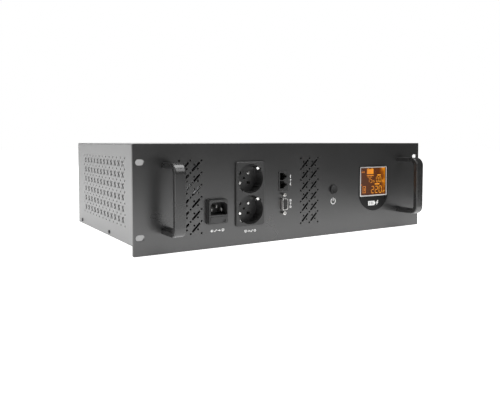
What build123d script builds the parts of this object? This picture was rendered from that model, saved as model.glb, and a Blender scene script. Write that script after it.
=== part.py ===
from build123d import *
import os
from math import cos, radians, sin, sqrt

# Rack-mounted uninterruptible power supply: a 19-inch, three-unit front panel with ears and two
# D handles, on a shallow steel chassis that holds two sealed batteries, a transformer, a power
# board and a fan.
#
# Every function works in the panel's own coordinates, in millimetres: x to the right seen from
# the front, y into the chassis from the panel's front face, z up from the surface the chassis
# stands on.  write() then moves each piece back by Y_SHIFT, so that the row's origin lies on that
# surface, under the middle of the whole box.

# ---------------------------------------------------------------- driving dimensions
PANEL_W = 482.6
PANEL_H = 132.5
PANEL_T = 3.0
PANEL_Z = 0.1
MID_Z = PANEL_Z + PANEL_H / 2

CASE_W = 438.0
CASE_H = 132.6
CASE_BACK = 326.0
SKIN = 1.0
TRAY = 1.2
BEND = 2.0

SLOT_X = 465.1 / 2
SLOT_Z = 88.9 / 2
SLOT_L = 10.8
SLOT_D = 7.1

VENT_PITCH = 15.15
VENT_ROWS = 6
FRONT_SLIT = 12.6
FRONT_HOLES = (2.7, 1.3, 3.6)
SIDE_SLIT = 7.4
SIDE_HOLES = (3.2, 1.5, 4.2)
LEFT_VENT_X = -167.3
RIGHT_VENT_X = 17.8
FRONT_VENT_Z = MID_Z
SIDE_PITCH = 16.3
SIDE_COLS = 12
SIDE_VENT_Y = 190.5
SIDE_VENT_Z = MID_Z + 1.6

HANDLE_X = 199.0
HANDLE_Z = MID_Z + 0.8
HANDLE_H = 86.0
HANDLE_OUT = 41.0
HANDLE_W = 14.0
GRIP_T = 7.4
LEG_T = 6.9
HANDLE_BOLT_Z = (HANDLE_H - LEG_T) / 2

INLET_X = -131.6
INLET_Z = MID_Z - 19.6
INLET_W = 27.0
INLET_H = 30.2
INLET_OUT = 7.5
INLET_BACK = 24.0
COUPLER_Z = INLET_Z + 4.2
COUPLER_W = 24.0
COUPLER_H = 16.2
COUPLER_DEEP = 16.5
DRAWER_Z = INLET_Z - 9.8
DRAWER_W = 23.4
DRAWER_H = 7.8
DRAWER_END = 17.0
DRAWER_GAP = 0.2

OUTLET_X = -81.7
OUTLET_Z = MID_Z + 0.4
OUTLET_W = 43.6
OUTLET_H = 84.4
OUTLET_OUT = 3.2
OUTLET_BACK = 28.0
SOCKET_PITCH = 40.8
SOCKET_MID_Z = MID_Z - 0.1
SOCKET_R = 19.2
SOCKET_DEEP = 17.5
PIN_R = 9.5
FLOOR_Y = SOCKET_DEEP - OUTLET_OUT

JACK_X = -27.8
JACK_Z = MID_Z + 15.0
JACK_W = 16.2
JACK_H = 26.8
JACK_OUT = 0.9
JACK_PITCH = 11.3
JACK_PORT = 10.2
JACK_PORT_UP = 0.5
JACK_DEEP = 12.5

SERIAL_X = -27.8
SERIAL_Z = MID_Z - 16.3
SERIAL_L = 16.9
SERIAL_W = 8.4
SERIAL_OUT = 5.8
SERIAL_SCREWS = 24.99
COMM_Y = 16.0
BOARD_T = 1.6

BUTTON_X = 61.6
BUTTON_Z = MID_Z - 0.6
BUTTON_R = 6.4
BUTTON_OUT = 3.0
BUTTON_GAP = 0.3
SWITCH_Y = 12.0

SCREEN_X = 140.2
SCREEN_Z = MID_Z + 8.2
TRIM_W = 55.6
TRIM_H = 44.8
WINDOW_W = 52.2
WINDOW_H = 41.5
SHIELD_X = SCREEN_X + 2.0
SHIELD_W = 57.2
SHIELD_TOP = 31.2
SHIELD_SIDE = -17.0
SHIELD_TIP = -36.8
BEZEL_OUT = 1.4
TRIM_OUT = 2.2
DISPLAY_Y = 22.0

FAN_X = -130.0
FAN_Z = MID_Z
REAR_VENT_X = 105.0
FAN_SIZE = 80.0
FAN_DEEP = 25.0
FAN_HOLES = 71.5 / 2
FAN_BORE = 38.0
FAN_Y = CASE_BACK - TRAY - FAN_DEEP
GUARD_WIRE = 0.8

BOARD_X0, BOARD_X1 = -85.0, 52.0
BOARD_Y0, BOARD_Y1 = 68.0, 278.0
BOARD_Z = 11.2
BOARD_TOP = BOARD_Z + BOARD_T

BATTERY_W, BATTERY_L, BATTERY_H = 65.0, 151.0, 94.0
BATTERY_X = (102.5, 169.5)
BATTERY_Y = 203.5
BATTERY_TOP = TRAY + BATTERY_H
STRAP_T = 1.5
STRAP_Y = 215.0

CORE_X, CORE_Y = -150.0, 215.0
CORE_W, CORE_STACK, CORE_H = 114.0, 62.0, 95.0
CORE_Z = 3.2
YOKE = 19.0

Y_SHIFT = -(CASE_BACK + 3.5 - HANDLE_OUT) / 2


# ---------------------------------------------------------------- helpers
def block(x0, x1, y0, y1, z0, z1):
    """A box between two corners."""
    return Pos((x0 + x1) / 2, (y0 + y1) / 2, (z0 + z1) / 2) * Box(x1 - x0, y1 - y0, z1 - z0)


def rod_y(x, z, radius, y0, y1):
    """A cylinder along y."""
    return Pos(x, (y0 + y1) / 2, z) * Rot(90, 0, 0) * Cylinder(radius, y1 - y0)


def rod_x(y, z, radius, x0, x1):
    """A cylinder along x."""
    return Pos((x0 + x1) / 2, y, z) * Rot(0, 90, 0) * Cylinder(radius, x1 - x0)


def rod_z(x, y, radius, z0, z1):
    """A cylinder along z."""
    return Pos(x, y, (z0 + z1) / 2) * Cylinder(radius, z1 - z0)


def front_slab(sketch, y0, y1):
    """A sketch drawn in x and z, as seen from the front, made solid from y0 to y1."""
    return extrude(Plane.XZ.offset(-y1) * sketch, y1 - y0)


def side_slab(sketch, x0, x1):
    """A sketch drawn in y and z made solid from x0 to x1."""
    return extrude(Plane.YZ.offset(x0) * sketch, x1 - x0)


def punched(outline, holes):
    """A flat face with holes that don't touch each other."""
    return Face(outline.face().outer_wire(), [h.face().outer_wire() for h in holes])


def fused(solids):
    """Several overlapping or touching solids as one."""
    first, *others = solids
    return first.fuse(*others).clean()


def group(solids):
    """Separate solids kept in one node."""
    return Compound(children=[s.solid() for s in solids])


def wire_tube(points, radius, bend):
    """A round wire along straight runs joined by tangent arcs."""
    path = FilletPolyline(*points, radius=bend)
    return sweep(Plane(path @ 0, z_dir=path % 0) * Circle(radius), path=path)


def vent_holes(u, v, cols, rows, pitch_u, slit, lean, sizes):
    """Stamped vent centred on (u, v): a leaning slit with two dots in each cell, and a dot at each corner.

    sizes holds the slit's width, the dots' radius and how far a dot stands from the slit's middle.
    """
    slit_w, dot_r, slit_dot = sizes
    holes = []
    u0 = u - cols * pitch_u / 2
    v0 = v - rows * VENT_PITCH / 2
    for i in range(cols + 1):
        for j in range(rows + 1):
            holes.append(Pos(u0 + i * pitch_u, v0 + j * VENT_PITCH) * Circle(dot_r))
    for i in range(cols):
        for j in range(rows):
            centre = Pos(u0 + (i + 0.5) * pitch_u, v0 + (j + 0.5) * VENT_PITCH)
            holes.append(centre * Rot(0, 0, lean) * SlotCenterToCenter(slit, slit_w))
            for side in (-1, 1):
                holes.append(centre * Rot(0, 0, lean) * Pos(0, side * slit_dot) * Circle(dot_r))
    return holes


# ---------------------------------------------------------------- sheet metal
def slot_centres():
    return [(sx * SLOT_X, MID_Z + sz * SLOT_Z) for sx in (-1, 1) for sz in (-1, 1)]


def handle_bolt_centres(x):
    return [(x, HANDLE_Z + s * HANDLE_BOLT_Z) for s in (-1, 1)]


PANEL_SCREW_X = (-190.0, -62.0, 62.0, 190.0)
PANEL_SCREW_Z = 9.0


def coupler_outline(width, height, chamfer):
    """Rectangle with its two upper corners cut off, as an appliance inlet has."""
    w, h = width / 2, height / 2
    points = [(-w, -h), (w, -h), (w, h - chamfer), (w - chamfer, h), (chamfer - w, h), (-w, h - chamfer)]
    return make_face(Polyline(*points, close=True))


def serial_outline(grow):
    """Upright nine-way D outline, wide side to the left."""
    long_half = SERIAL_L / 2 + grow
    wide_half = SERIAL_W / 2 + grow
    points = [
        (-wide_half, -long_half),
        (wide_half, -long_half + 1.5),
        (wide_half, long_half - 1.5),
        (-wide_half, long_half),
    ]
    shape = make_face(Polyline(*points, close=True))
    return fillet(shape.vertices(), 1.6)


def front_panel():
    """Thick plate with rack ears and every opening cut through it."""
    outline = Pos(0, MID_Z) * RectangleRounded(PANEL_W, PANEL_H, 1.5)
    holes = [Pos(x, z) * SlotOverall(SLOT_L, SLOT_D) for x, z in slot_centres()]
    holes += vent_holes(LEFT_VENT_X, FRONT_VENT_Z, 2, VENT_ROWS, VENT_PITCH, FRONT_SLIT, 45, FRONT_HOLES)
    holes += vent_holes(RIGHT_VENT_X, FRONT_VENT_Z, 2, VENT_ROWS, VENT_PITCH, FRONT_SLIT, 45, FRONT_HOLES)
    for side in (-1, 1):
        holes += [Pos(x, z) * Circle(2.75) for x, z in handle_bolt_centres(side * HANDLE_X)]
    holes.append(Pos(INLET_X, INLET_Z) * RectangleRounded(INLET_W, INLET_H - 1, 2.0))
    holes.append(Pos(OUTLET_X, OUTLET_Z) * RectangleRounded(OUTLET_W - 2, OUTLET_H - 2, 2.0))
    holes.append(Pos(JACK_X, JACK_Z) * Rectangle(JACK_W, JACK_H))
    holes.append(Pos(SERIAL_X, SERIAL_Z) * serial_outline(0.5))
    holes += [Pos(SERIAL_X, z) * Circle(1.7) for z in serial_screw_z()]
    holes.append(Pos(BUTTON_X, BUTTON_Z) * Circle(BUTTON_R + BUTTON_GAP))
    holes.append(Pos(SCREEN_X, SCREEN_Z) * Rectangle(WINDOW_W + 2.8, WINDOW_H + 2.8))
    plate = front_slab(punched(outline, holes), 0, PANEL_T)
    taps = [rod_y(x, PANEL_SCREW_Z, 1.6, 1.2, PANEL_T) for x in PANEL_SCREW_X]
    return plate - taps


def base_tray():
    """Floor, low side and front flanges and a full-height rear wall."""
    half = CASE_W / 2 - SKIN
    feet_holes = [(x, y) for x, y in transformer_feet()]
    floor_holes = [Pos(x, y) * Circle(2.2) for x, y in feet_holes]
    floor_outline = Pos(0, (PANEL_T + CASE_BACK) / 2) * Rectangle(2 * half, CASE_BACK - PANEL_T)
    floor = extrude(punched(floor_outline, floor_holes), TRAY)
    rear_outline = Pos(0, (CASE_H - SKIN) / 2) * Rectangle(2 * half, CASE_H - SKIN)
    rear_outline = fillet(rear_outline.vertices().group_by(Axis.Y)[-1], BEND - SKIN)
    rear_holes = [Pos(FAN_X, FAN_Z) * Circle(FAN_BORE)]
    rear_holes += [Pos(x, z) * Circle(2.2) for x, z in fan_screw_centres()]
    rear_holes += [Pos(x, REAR_SCREW_Z) * Circle(1.5) for x in REAR_SCREW_X]
    rear_holes += vent_holes(REAR_VENT_X, MID_Z, 6, VENT_ROWS - 1, VENT_PITCH, FRONT_SLIT, 45, FRONT_HOLES)
    rear = front_slab(punched(rear_outline, rear_holes), CASE_BACK - TRAY, CASE_BACK)
    front_outline = Pos(0, 8) * Rectangle(2 * half, 16)
    front_holes = [Pos(x, PANEL_SCREW_Z) * Circle(2.2) for x in PANEL_SCREW_X]
    front = front_slab(punched(front_outline, front_holes), PANEL_T, PANEL_T + TRAY)
    flanges = []
    side_outline = Pos((PANEL_T + CASE_BACK) / 2, 7) * Rectangle(CASE_BACK - PANEL_T, 14)
    side_holes = [Pos(y, COVER_SCREW_Z) * Circle(1.5) for y in COVER_SCREW_Y]
    for x0 in (-half, half - TRAY):
        flanges.append(side_slab(punched(side_outline, side_holes), x0, x0 + TRAY))
    return fused([floor, rear, front, *flanges])


COVER_SCREW_Y = (17.0, 160.0, 303.0)
COVER_SCREW_Z = 5.6
REAR_SCREW_X = (-190.0, 0.0, 190.0)
REAR_SCREW_Z = 126.5
REAR_LIP = 12.0


def top_cover():
    """One sheet folded into a U: perforated sides, plain top and a lip down over the rear wall."""
    half = CASE_W / 2
    length = CASE_BACK - PANEL_T
    outline = Pos((PANEL_T + CASE_BACK) / 2, (CASE_H - BEND) / 2) * Rectangle(length, CASE_H - BEND)
    screws = [Pos(y, COVER_SCREW_Z) * Circle(1.7) for y in COVER_SCREW_Y]
    sheets = []
    for x0, lean in ((-half, 45), (half - SKIN, 135)):
        layout = (SIDE_VENT_Y, SIDE_VENT_Z, SIDE_COLS, VENT_ROWS, SIDE_PITCH)
        vents = vent_holes(*layout, SIDE_SLIT, lean, SIDE_HOLES)
        sheets.append(side_slab(punched(outline, vents + screws), x0, x0 + SKIN))
    top = block(BEND - half, half - BEND, PANEL_T, CASE_BACK, CASE_H - SKIN, CASE_H)
    for side in (-1, 1):
        ring = Circle(BEND) - Circle(BEND - SKIN)
        corner = ring & Pos(side * BEND / 2, BEND / 2) * Rectangle(BEND, BEND)
        placed = Pos(side * (half - BEND), CASE_H - BEND) * corner
        sheets.append(front_slab(placed, PANEL_T, CASE_BACK))
    lip_outline = Pos(0, CASE_H - REAR_LIP / 2) * Rectangle(CASE_W - 2 * BEND, REAR_LIP)
    lip_holes = [Pos(x, REAR_SCREW_Z) * Circle(1.7) for x in REAR_SCREW_X]
    lip = front_slab(punched(lip_outline, lip_holes), CASE_BACK, CASE_BACK + SKIN)
    return fused([top, lip, *sheets])


def pan_screw(head_r, head_h, shank_r, shank_l):
    """Pan-head screw along +z: the head stands above z = 0 and the shank hangs below it."""
    head = fillet(Cylinder(head_r, head_h).edges().group_by(Axis.Z)[-1], head_h * 0.45)
    head = Pos(0, 0, head_h / 2) * head
    shank = Pos(0, 0, -shank_l / 2) * Cylinder(shank_r, shank_l)
    depth = head_h * 0.5
    cross = [Rot(0, 0, a) * Pos(0, 0, head_h) * Box(head_r * 1.1, head_r * 0.22, 2 * depth) for a in (0, 90)]
    return fused([head, shank]) - cross


def cover_screws():
    """Six screws through the sides into the tray and three through the rear lip."""
    screw = pan_screw(2.8, 1.6, 1.4, 3.0)
    placed = []
    for y in COVER_SCREW_Y:
        placed.append(Pos(CASE_W / 2, y, COVER_SCREW_Z) * Rot(0, 90, 0) * screw)
        placed.append(Pos(-CASE_W / 2, y, COVER_SCREW_Z) * Rot(0, -90, 0) * screw)
    for x in REAR_SCREW_X:
        placed.append(Pos(x, CASE_BACK + SKIN, REAR_SCREW_Z) * Rot(-90, 0, 0) * screw)
    return group(placed)


def panel_screws():
    """Screws from inside the tray's front flange into the panel's blind threads."""
    screw = pan_screw(3.4, 2.2, 1.5, 2.8)
    seat = PANEL_T + TRAY
    return group([Pos(x, seat, PANEL_SCREW_Z) * Rot(-90, 0, 0) * screw for x in PANEL_SCREW_X])


def handle(x):
    """D handle: a bent rounded bar, its legs standing on the panel."""
    outer_r, inner_r = 12.0, 5.5
    half = HANDLE_H / 2
    outer = make_face(Polyline((0, -half), (-HANDLE_OUT, -half), (-HANDLE_OUT, half), (0, half), close=True))
    outer = fillet(outer.vertices().group_by(Axis.X)[0], outer_r)
    in_y, in_z = HANDLE_OUT - GRIP_T, half - LEG_T
    inner = make_face(Polyline((1, -in_z), (-in_y, -in_z), (-in_y, in_z), (1, in_z), close=True))
    inner = fillet(inner.vertices().group_by(Axis.X)[0], inner_r)
    bar = extrude(Plane.YZ.offset(-HANDLE_W / 2) * (outer - inner), HANDLE_W)
    rims = bar.faces().sort_by(Axis.X)
    edges = [e for f in (rims[0], rims[-1]) for e in f.edges() if abs(e.center().Y) > 0.01]
    bar = fillet(edges, 1.6)
    bar = Pos(x, 0, HANDLE_Z) * bar
    return bar - [rod_y(bx, bz, 2.1, -14, 0) for bx, bz in handle_bolt_centres(x)]


def handle_screws():
    """One screw into each handle leg, from behind the panel."""
    screw = pan_screw(4.4, 3.0, 2.0, 15.0)
    centres = handle_bolt_centres(-HANDLE_X) + handle_bolt_centres(HANDLE_X)
    return group([Pos(x, PANEL_T, z) * Rot(-90, 0, 0) * screw for x, z in centres])


# ---------------------------------------------------------------- mains inlet
PIN_PLACES = ((-7.0, -2.0), (7.0, -2.0), (0.0, 2.0))
PIN_TIP_Y = 6.0 - INLET_OUT
FUSE_Y = (2.6, 10.6)
FUSE_L = 20.0


def inlet_housing():
    """Moulded appliance inlet: a stepped flange, the plug cavity and the fuse drawer's slot under it."""
    flange = front_slab(Pos(INLET_X, INLET_Z) * RectangleRounded(INLET_W + 1.8, INLET_H + 1.6, 2.6), -3.4, 0)
    raised = front_slab(Pos(INLET_X, INLET_Z) * RectangleRounded(INLET_W, INLET_H, 2.4), -INLET_OUT, -3.4)
    raised = fillet(raised.edges().group_by(Axis.Y)[0], 0.8)
    rear_outline = RectangleRounded(INLET_W - 0.6, INLET_H - 1.2, 1.5)
    rear = front_slab(Pos(INLET_X, INLET_Z) * rear_outline, 0, INLET_BACK)
    body = fused([flange, raised, rear])
    cavity = Pos(INLET_X, COUPLER_Z) * coupler_outline(COUPLER_W, COUPLER_H, 3.6)
    body -= front_slab(cavity, -INLET_OUT - 1, COUPLER_DEEP - INLET_OUT)
    w, h = DRAWER_W / 2 + DRAWER_GAP, DRAWER_H / 2 + DRAWER_GAP
    body -= block(INLET_X - w, INLET_X + w, -INLET_OUT - 1, DRAWER_END + 1, DRAWER_Z - h, DRAWER_Z + h)
    return body - [p for p in inlet_pin_solids()]


def inlet_pin_solids():
    pins = []
    for dx, dz in PIN_PLACES:
        x, z = INLET_X + dx, COUPLER_Z + dz
        blade = block(x - 1, x + 1, PIN_TIP_Y, INLET_BACK, z - 2, z + 2)
        blade = chamfer(blade.edges().group_by(Axis.Y)[0], 0.5)
        tab = block(x - 0.4, x + 0.4, INLET_BACK, INLET_BACK + 8, z - 2, z + 2)
        pins.append(fused([blade, tab]))
    return pins


def inlet_pins():
    """Live, neutral and earth blades with their solder tabs."""
    return group(inlet_pin_solids())


def fuse_drawer():
    """Tray that slides out under the plug cavity, with two fuse pockets and a thumb notch."""
    w, h = DRAWER_W / 2, DRAWER_H / 2
    face = block(INLET_X - w, INLET_X + w, -INLET_OUT - 0.4, 0, DRAWER_Z - h, DRAWER_Z + h)
    face = fillet(face.edges().group_by(Axis.Y)[0], 0.4)
    tray = block(INLET_X - w, INLET_X + w, 0, DRAWER_END, DRAWER_Z - h, DRAWER_Z + h)
    body = fused([face, tray])
    for y in FUSE_Y:
        low = DRAWER_Z - h + 0.8
        body -= block(INLET_X - 10.3, INLET_X + 10.3, y - 2.9, y + 2.9, low, DRAWER_Z + h + 1)
    notch_x = INLET_X + w - 4.5
    notch_z = DRAWER_Z - h + 0.8
    return body - block(notch_x - 2, notch_x + 2, -INLET_OUT - 1, -INLET_OUT + 0.8, notch_z, DRAWER_Z)


def fuse_tubes():
    """Glass bodies of the fitted fuse and the spare."""
    z = DRAWER_Z - DRAWER_H / 2 + 0.8 + 2.65
    half = FUSE_L / 2 - 5.5
    tubes = [rod_x(y, z, 2.3, INLET_X - half, INLET_X + half) for y in FUSE_Y]
    return group(tubes)


def fuse_caps():
    """Metal end caps of both fuses."""
    z = DRAWER_Z - DRAWER_H / 2 + 0.8 + 2.65
    caps = []
    for y in FUSE_Y:
        for side in (-1, 1):
            x0 = INLET_X + side * (FUSE_L / 2 - 5.5)
            x1 = INLET_X + side * FUSE_L / 2
            caps.append(rod_x(y, z, 2.6, min(x0, x1), max(x0, x1)))
    return group(caps)


# ---------------------------------------------------------------- mains outlets
SOCKET_Z = (SOCKET_MID_Z - SOCKET_PITCH / 2, SOCKET_MID_Z + SOCKET_PITCH / 2)
CLIP_W = 3.6
DIAGONAL = sqrt(0.5)


def around_socket(z, angle, piece):
    """Turns a piece drawn about the y axis by an angle and moves it to a socket's centre."""
    return Pos(OUTLET_X, 0, z) * Rot(0, -angle, 0) * piece


def outlet_housing():
    """Double earthed socket block with two round plug recesses, turned by 45 degrees."""
    plate = front_slab(Pos(OUTLET_X, OUTLET_Z) * RectangleRounded(OUTLET_W, OUTLET_H, 3.0), -OUTLET_OUT, 0)
    plate = chamfer(plate.edges().group_by(Axis.Y)[0], 0.9)
    rear_outline = Pos(OUTLET_X, OUTLET_Z) * RectangleRounded(OUTLET_W - 2.6, OUTLET_H - 2.6, 1.7)
    body = fused([plate, front_slab(rear_outline, 0, OUTLET_BACK)])
    for z in SOCKET_Z:
        body -= rod_y(OUTLET_X, z, SOCKET_R, -OUTLET_OUT - 1, FLOOR_Y)
        body -= rod_y(OUTLET_X, z, 1.8, FLOOR_Y - 1, FLOOR_Y + 6.5)
        for angle in (45, 225):
            notch = block(15, SOCKET_R + 1.6, -OUTLET_OUT - 1, FLOOR_Y, -CLIP_W / 2 - 0.8, CLIP_W / 2 + 0.8)
            body -= around_socket(z, angle, notch)
        for angle in (135, 315):
            hole = rod_y(PIN_R, 0, 2.6, FLOOR_Y - 1, OUTLET_BACK + 1)
            body -= around_socket(z, angle, hole)
            for side in (-1, 1):
                rib_z = side * 3.9
                rib = block(SOCKET_R - 1.3, SOCKET_R + 0.2, 1.5, FLOOR_Y + 1, rib_z - 1.1, rib_z + 1.1)
                body = body.fuse(around_socket(z, angle, rib))
    return body.clean()


def outlet_contacts():
    """Sleeves behind the pin holes that grip a plug's pins."""
    sleeves = []
    for z in SOCKET_Z:
        for angle in (135, 315):
            ring = Circle(2.6) - Circle(2.1)
            sleeve = front_slab(Pos(PIN_R, 0) * ring, FLOOR_Y + 2.5, OUTLET_BACK + 6)
            sleeves.append(around_socket(z, angle, sleeve))
    return group(sleeves)


def earth_clips():
    """Sprung earth contacts on opposite walls of each recess."""
    front = [(19.6, -0.4), (17.6, 1.6), (16.8, 4.5), (17.6, 9.0), (18.6, FLOOR_Y)]
    back = [(r + 0.9, y) for r, y in reversed(front)]
    profile = make_face(Polyline(*(front + back), close=True))
    strip = extrude(Plane.XY.offset(-CLIP_W / 2) * profile, CLIP_W)
    return group([around_socket(z, angle, strip) for z in SOCKET_Z for angle in (45, 225)])


def outlet_fasteners():
    """Domed rivets of the earth strap and the middle screw of each recess."""
    pieces = []
    for z in SOCKET_Z:
        for angle in (45, 225):
            rivet = rod_y(PIN_R - 0.2, 0, 2.1, FLOOR_Y - 1.0, FLOOR_Y)
            rivet = fillet(rivet.edges().group_by(Axis.Y)[0], 0.6)
            pieces.append(around_socket(z, angle, rivet))
        screw = rod_y(0, 0, 1.6, FLOOR_Y + 4.0, FLOOR_Y + 6.5)
        screw -= block(-1.7, 1.7, FLOOR_Y + 3, FLOOR_Y + 4.6, -0.25, 0.25)
        pieces.append(around_socket(z, 30, screw))
    return group(pieces)


# ---------------------------------------------------------------- data ports
def serial_screw_z():
    return [SERIAL_Z + s * SERIAL_SCREWS / 2 for s in (-1, 1)]


def jack_port(z):
    """Opening for one telephone plug, with its latch steps to the right."""
    left = JACK_X - JACK_W / 2 + 2.2
    half = JACK_PORT / 2
    steps = [(left, -half), (left + 6.9, -half), (left + 6.9, -3.1), (left + 9.0, -3.1), (left + 9.0, -1.6),
             (left + 11.6, -1.6), (left + 11.6, 1.6), (left + 9.0, 1.6), (left + 9.0, 3.1), (left + 6.9, 3.1),
             (left + 6.9, half), (left, half)]
    return Pos(0, z) * make_face(Polyline(*steps, close=True))


JACK_PORT_Z = tuple(JACK_Z + JACK_PORT_UP + s * JACK_PITCH / 2 for s in (-1, 1))


def phone_jack():
    """Double surge-protected telephone jack, lying on its side."""
    half_w, half_h = JACK_W / 2 - 0.2, JACK_H / 2 - 0.2
    body = block(JACK_X - half_w, JACK_X + half_w, -JACK_OUT, COMM_Y, JACK_Z - half_h, JACK_Z + half_h)
    body = chamfer(body.edges().group_by(Axis.Y)[0], 0.4)
    for z in JACK_PORT_Z:
        body -= front_slab(jack_port(z), -JACK_OUT - 1, JACK_DEEP)
    return body


def phone_contacts():
    """Four sprung wires on the left wall of each port."""
    root = JACK_X - JACK_W / 2 + 2.2
    wires = []
    for z in JACK_PORT_Z:
        for k in range(4):
            slope = Rot(0, 0, -10) * Rot(90, 0, 0)
            wire = Pos(root + 1.4, 6.2, z + (k - 1.5) * 1.27) * slope * Cylinder(0.25, 9)
            wires.append(wire)
    return group(wires)


def serial_shell():
    """Plated D shell with its mounting flange behind the panel."""
    ring = Pos(SERIAL_X, SERIAL_Z) * (serial_outline(0) - serial_outline(-0.5))
    tube = front_slab(ring, -SERIAL_OUT, PANEL_T + 0.4)
    plate_outline = Pos(SERIAL_X, SERIAL_Z) * RectangleRounded(12.5, 30.8, 1.0)
    holes = [Pos(SERIAL_X, z) * Circle(1.6) for z in serial_screw_z()]
    holes.append(Pos(SERIAL_X, SERIAL_Z) * serial_outline(-0.5))
    plate = front_slab(punched(plate_outline, holes), PANEL_T, PANEL_T + 0.8)
    return fused([tube, plate])


def serial_insert():
    """Moulded insert with nine sockets, and the body that carries it to the board."""
    core = front_slab(Pos(SERIAL_X, SERIAL_Z) * serial_outline(-0.5), 0.4 - SERIAL_OUT, PANEL_T + 0.8)
    half_l = 9.6
    body = block(SERIAL_X - 5, SERIAL_X + 5, PANEL_T + 0.8, COMM_Y, SERIAL_Z - half_l, SERIAL_Z + half_l)
    insert = fused([core, body])
    sockets = [(-1.42, (k - 2) * 2.77) for k in range(5)] + [(1.42, (k - 1.5) * 2.77) for k in range(4)]
    return insert - [rod_y(SERIAL_X + dx, SERIAL_Z + dz, 0.65, -SERIAL_OUT, -0.5) for dx, dz in sockets]


def jack_screws():
    """Hexagonal screw posts that a cable's thumbscrews go into."""
    posts = []
    for z in serial_screw_z():
        post = front_slab(Pos(SERIAL_X, z) * RegularPolygon(2.75, 6), -4.8, 0)
        post = chamfer(post.edges().group_by(Axis.Y)[0], 0.35)
        shank = rod_y(SERIAL_X, z, 1.45, 0, PANEL_T + 4)
        posts.append(fused([post, shank]) - rod_y(SERIAL_X, z, 1.3, -5, -0.2))
    return group(posts)


def comm_board():
    """Upright board that carries the jack and the serial port."""
    return block(-48, -8, COMM_Y, COMM_Y + BOARD_T, 30, 106)


# ---------------------------------------------------------------- power button
def power_button():
    """Round cap with a retaining flange behind the panel and a stem that reaches the switch."""
    cap = rod_y(BUTTON_X, BUTTON_Z, BUTTON_R, -BUTTON_OUT, PANEL_T + 0.6)
    cap = fillet(cap.edges().group_by(Axis.Y)[0], 0.9)
    flange = rod_y(BUTTON_X, BUTTON_Z, 7.4, PANEL_T + 0.3, PANEL_T + 1.8)
    stem = rod_y(BUTTON_X, BUTTON_Z, 2.0, PANEL_T + 1.8, SWITCH_Y + 1)
    dish = Pos(BUTTON_X, -BUTTON_OUT - 29.4, BUTTON_Z) * Sphere(30)
    return fused([cap, flange, stem]) - dish


SPRING_Y0 = PANEL_T + 1.9
SPRING_Y1 = SWITCH_Y - 0.1


def button_spring():
    """Return spring round the stem, between the flange and the switch."""
    wire_r, coil_r, turns = 0.35, 3.3, 4
    height = SPRING_Y1 - SPRING_Y0 - 2 * wire_r
    helix = Helix(height / turns, height, coil_r)
    coil = sweep(Plane(helix @ 0, z_dir=helix % 0) * Circle(wire_r), path=helix)
    return Pos(BUTTON_X, SPRING_Y0 + wire_r, BUTTON_Z) * Rot(-90, 0, 0) * coil


def button_switch():
    """Sealed push switch, soldered to the display board."""
    body = block(BUTTON_X - 6, BUTTON_X + 6, SWITCH_Y, DISPLAY_Y, BUTTON_Z - 6, BUTTON_Z + 6)
    return body - rod_y(BUTTON_X, BUTTON_Z, 2.4, SWITCH_Y - 1, SWITCH_Y + 4.5)


# ---------------------------------------------------------------- display
def shield_outline():
    """Display surround: square at the top and a wide round tongue below."""
    half = SHIELD_W / 2
    corner = 2.0
    sides = Polyline((-half, SHIELD_SIDE), (-half, SHIELD_TOP), (half, SHIELD_TOP), (half, SHIELD_SIDE))
    tongue = ThreePointArc((half, SHIELD_SIDE), (0, SHIELD_TIP), (-half, SHIELD_SIDE))
    shape = make_face([sides, tongue])
    return fillet(shape.vertices().group_by(Axis.Y)[-1], corner)


def screen_rect(width, height, radius=0.0):
    shape = RectangleRounded(width, height, radius) if radius else Rectangle(width, height)
    return Pos(SCREEN_X, SCREEN_Z) * shape


def display_bezel():
    """Gloss surround with a rim that passes through the panel."""
    plate = front_slab(Pos(SHIELD_X, MID_Z) * shield_outline(), -BEZEL_OUT, 0)
    plate = fillet(plate.edges().group_by(Axis.Y)[0], 0.5)
    rim = front_slab(screen_rect(WINDOW_W + 2.4, WINDOW_H + 2.4), 0, 7)
    return fused([plate, rim]) - front_slab(screen_rect(WINDOW_W, WINDOW_H), -BEZEL_OUT - 1, 8)


def display_trim():
    """Bright frame round the window."""
    ring = screen_rect(TRIM_W, TRIM_H, 1.6) - screen_rect(WINDOW_W, WINDOW_H, 0.8)
    trim = front_slab(ring, -TRIM_OUT, -BEZEL_OUT)
    return fillet(trim.edges().group_by(Axis.Y)[0], 0.25)


def display_window():
    """Clear cover of the display."""
    return front_slab(screen_rect(WINDOW_W - 0.2, WINDOW_H - 0.2), -BEZEL_OUT, -BEZEL_OUT + 1)


def lcd_module():
    """Backlit liquid-crystal panel in its frame."""
    glass = front_slab(screen_rect(WINDOW_W - 0.4, WINDOW_H - 0.4), 0.2, 2.2)
    frame = front_slab(screen_rect(WINDOW_W - 0.2, WINDOW_H - 0.2), 2.2, DISPLAY_Y)
    return fused([glass, frame])


DISPLAY_POSTS = ((56.0, 96.0), (56.0, 34.0), (178.0, 96.0), (178.0, 34.0))


def display_board():
    """Upright board behind the display and the power switch."""
    outline = Pos(117, 65) * RectangleRounded(132, 72, 2)
    holes = [Pos(x, z) * Circle(1.6) for x, z in DISPLAY_POSTS]
    return front_slab(punched(outline, holes), DISPLAY_Y, DISPLAY_Y + BOARD_T)


def display_posts():
    """Posts from the panel to the display board, each with its screw head."""
    posts = []
    for x, z in DISPLAY_POSTS:
        post = rod_y(x, z, 2.6, PANEL_T, DISPLAY_Y)
        neck = rod_y(x, z, 1.5, DISPLAY_Y, DISPLAY_Y + BOARD_T)
        head = rod_y(x, z, 2.8, DISPLAY_Y + BOARD_T, DISPLAY_Y + BOARD_T + 1.8)
        posts.append(fused([post, neck, head]))
    return group(posts)


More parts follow.
